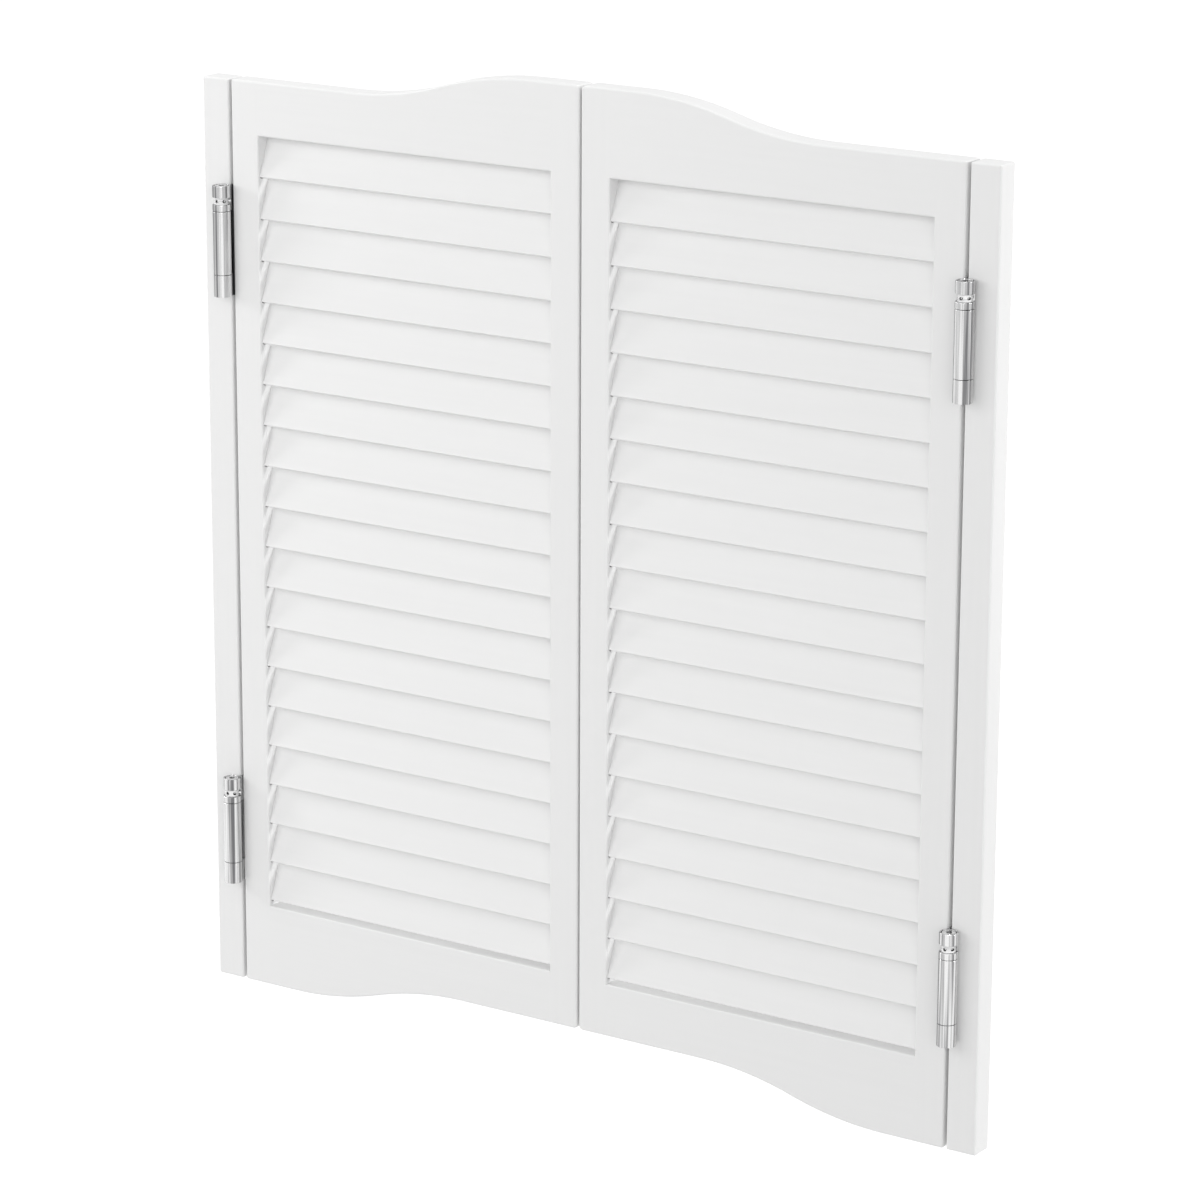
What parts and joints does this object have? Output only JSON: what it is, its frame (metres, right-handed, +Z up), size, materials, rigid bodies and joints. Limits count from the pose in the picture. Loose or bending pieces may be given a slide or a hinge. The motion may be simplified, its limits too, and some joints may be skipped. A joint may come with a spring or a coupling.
{
  "type": "cafe swinging doors",
  "caption": "Pair of white louvred cafe doors with serpentine tops and bottoms, swinging both ways on double-action spring hinges between two hanging strips.",
  "frame": {"origin": "mid width and mid thickness of the pair, at the level of the foot of the hanging strips", "axes": "+X across the doorway to the right seen from the front, +Y from the front to the back, +Z up"},
  "size_m": [1.0216, 0.0714, 1.1018],
  "materials": {
    "white_paint": "satin white paint on wood",
    "hinge_steel": "satin, brushed round the barrels",
    "collar_steel": "turned"
  },
  "bodies": {
    "hanging_strips": {"left_hanging_strip": "white_paint", "right_hanging_strip": "white_paint", "left_lower_jamb_leaf": "hinge_steel", "left_upper_jamb_leaf": "hinge_steel", "right_lower_jamb_leaf": "hinge_steel", "right_upper_jamb_leaf": "hinge_steel"},
    "left_links": {"left_lower_middle_leaf": "hinge_steel", "left_upper_middle_leaf": "hinge_steel"},
    "left_door": {"left_hinge_stile": "white_paint", "left_meeting_stile": "white_paint", "left_top_rail": "white_paint", "left_bottom_rail": "white_paint", "left_louvres": "white_paint", "left_lower_door_leaf": "hinge_steel", "left_upper_door_leaf": "hinge_steel"},
    "left_lower_front_tension": {"left_lower_front_collar": "collar_steel", "left_lower_front_pin": "collar_steel"},
    "left_lower_rear_tension": {"left_lower_rear_collar": "collar_steel", "left_lower_rear_pin": "collar_steel"},
    "left_upper_front_tension": {"left_upper_front_collar": "collar_steel", "left_upper_front_pin": "collar_steel"},
    "left_upper_rear_tension": {"left_upper_rear_collar": "collar_steel", "left_upper_rear_pin": "collar_steel"},
    "right_links": {"right_lower_middle_leaf": "hinge_steel", "right_upper_middle_leaf": "hinge_steel"},
    "right_door": {"right_hinge_stile": "white_paint", "right_meeting_stile": "white_paint", "right_top_rail": "white_paint", "right_bottom_rail": "white_paint", "right_louvres": "white_paint", "right_lower_door_leaf": "hinge_steel", "right_upper_door_leaf": "hinge_steel"},
    "right_lower_front_tension": {"right_lower_front_collar": "collar_steel", "right_lower_front_pin": "collar_steel"},
    "right_lower_rear_tension": {"right_lower_rear_collar": "collar_steel", "right_lower_rear_pin": "collar_steel"},
    "right_upper_front_tension": {"right_upper_front_collar": "collar_steel", "right_upper_front_pin": "collar_steel"},
    "right_upper_rear_tension": {"right_upper_rear_collar": "collar_steel", "right_upper_rear_pin": "collar_steel"}
  },
  "joints": [
    {"name": "left_front_swing", "type": "hinge", "parent": "hanging_strips", "child": "left_links", "pos_m": [-0.4783, -0.0253, 0.5334], "axis": [0, 0, 1], "range_deg": [-100, 0], "stiffness_Nm_per_rad": 3},
    {"name": "left_rear_swing", "type": "hinge", "parent": "left_links", "child": "left_door", "pos_m": [-0.4673, 0.0253, 0.5334], "axis": [0, 0, 1], "range_deg": [0, 100], "stiffness_Nm_per_rad": 3},
    {"name": "left_lower_front_tension_turn", "type": "hinge", "parent": "left_links", "child": "left_lower_front_tension", "pos_m": [-0.4783, -0.0253, 0.2355], "axis": [0, 0, 1], "range_deg": [-180, 0], "stiffness_Nm_per_rad": 0.3},
    {"name": "left_lower_rear_tension_turn", "type": "hinge", "parent": "left_links", "child": "left_lower_rear_tension", "pos_m": [-0.4673, 0.0253, 0.2355], "axis": [0, 0, 1], "range_deg": [-180, 0], "stiffness_Nm_per_rad": 0.3},
    {"name": "left_upper_front_tension_turn", "type": "hinge", "parent": "left_links", "child": "left_upper_front_tension", "pos_m": [-0.4783, -0.0253, 0.933], "axis": [0, 0, 1], "range_deg": [-180, 0], "stiffness_Nm_per_rad": 0.3},
    {"name": "left_upper_rear_tension_turn", "type": "hinge", "parent": "left_links", "child": "left_upper_rear_tension", "pos_m": [-0.4673, 0.0253, 0.933], "axis": [0, 0, 1], "range_deg": [-180, 0], "stiffness_Nm_per_rad": 0.3},
    {"name": "right_front_swing", "type": "hinge", "parent": "hanging_strips", "child": "right_links", "pos_m": [0.4783, -0.0253, 0.5334], "axis": [0, 0, 1], "range_deg": [0, 100], "stiffness_Nm_per_rad": 3},
    {"name": "right_rear_swing", "type": "hinge", "parent": "right_links", "child": "right_door", "pos_m": [0.4673, 0.0253, 0.5334], "axis": [0, 0, 1], "range_deg": [-100, 0], "stiffness_Nm_per_rad": 3},
    {"name": "right_lower_front_tension_turn", "type": "hinge", "parent": "right_links", "child": "right_lower_front_tension", "pos_m": [0.4783, -0.0253, 0.2355], "axis": [0, 0, 1], "range_deg": [0, 180], "stiffness_Nm_per_rad": 0.3},
    {"name": "right_lower_rear_tension_turn", "type": "hinge", "parent": "right_links", "child": "right_lower_rear_tension", "pos_m": [0.4673, 0.0253, 0.2355], "axis": [0, 0, 1], "range_deg": [0, 180], "stiffness_Nm_per_rad": 0.3},
    {"name": "right_upper_front_tension_turn", "type": "hinge", "parent": "right_links", "child": "right_upper_front_tension", "pos_m": [0.4783, -0.0253, 0.933], "axis": [0, 0, 1], "range_deg": [0, 180], "stiffness_Nm_per_rad": 0.3},
    {"name": "right_upper_rear_tension_turn", "type": "hinge", "parent": "right_links", "child": "right_upper_rear_tension", "pos_m": [0.4673, 0.0253, 0.933], "axis": [0, 0, 1], "range_deg": [0, 180], "stiffness_Nm_per_rad": 0.3}
  ]
}
